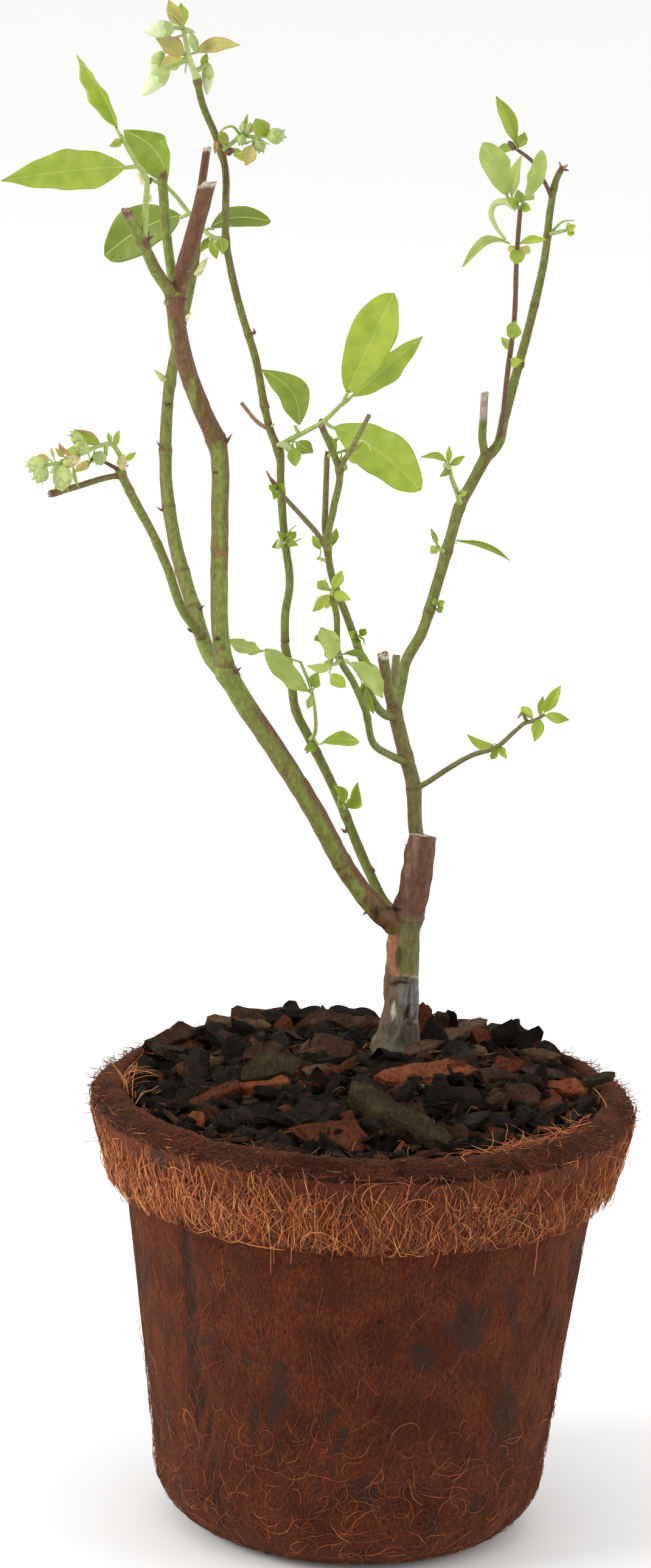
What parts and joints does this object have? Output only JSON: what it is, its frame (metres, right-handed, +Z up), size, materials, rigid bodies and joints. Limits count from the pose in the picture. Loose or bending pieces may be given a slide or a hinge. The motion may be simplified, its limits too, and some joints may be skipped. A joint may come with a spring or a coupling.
{
  "type": "potted blueberry bush",
  "caption": "Young blueberry bush with forked green stems, sparse spring leaves and flower buds, in a pressed coir pot with a folded collar and bark mulch.",
  "frame": {"origin": "middle of the pot's flat underside", "axes": "+Z up along the pot's axis, -Y towards the plant's front, +X to the right seen from the front"},
  "size_m": [0.2012, 0.169, 0.4773],
  "materials": {
    "coir_wall": "dark red-brown pressed coir fibre",
    "coir_collar": "orange-tan loose coir fibre",
    "soil": "moist peat and roots",
    "bark_mulch": "nearly black bark chips, some red-brown",
    "trunk_bark": "grey cracked bark",
    "green_stem": "olive green young bark with brown tints",
    "cut_wood": "brown bark with dry cut ends",
    "leaf": "fresh yellow-green leaf, satin",
    "blossom_bud": "pale green flower buds with pink bract edges"
  },
  "bodies": {
    "root": {"pot_shell": "coir_wall", "pot_collar": "coir_collar", "root_ball": "soil", "bark_mulch": "bark_mulch", "trunk": "trunk_bark", "left_stem": "green_stem", "left_leader": "green_stem", "leader_cut_stub": "cut_wood", "leader_left_stub": "green_stem", "leader_mid_stub": "green_stem", "back_leader": "green_stem", "side_leader": "green_stem", "side_cut_twig": "cut_wood", "middle_stem": "green_stem", "middle_leader": "green_stem", "right_stem": "green_stem", "right_cut_stubs": "cut_wood", "right_leader": "green_stem", "right_cut_tip": "cut_wood", "right_top": "green_stem", "inner_twig": "green_stem", "inner_side_twig": "green_stem", "inner_back_twig": "green_stem", "low_twig": "green_stem", "top_left_leaves": "leaf", "left_shoot_leaves": "leaf", "left_blossom": "blossom_bud", "crown_blossom": "blossom_bud", "side_blossom": "blossom_bud", "middle_shoot_leaves": "leaf", "low_leaves": "leaf", "low_curl": "leaf", "mid_low_buds": "leaf", "mid_high_buds": "leaf", "inner_low_buds": "leaf", "inner_tip_leaves": "leaf", "low_twig_tip_leaves": "leaf", "low_twig_leaves": "leaf", "pale_leaves": "leaf", "right_twig_leaves": "leaf", "right_node_leaves": "leaf", "right_long_leaf": "leaf", "right_low_buds": "leaf", "right_inner_leaves": "leaf", "twin_twig_leaves": "leaf", "right_tip_leaves": "leaf", "right_top_buds": "leaf"}
  },
  "joints": []
}
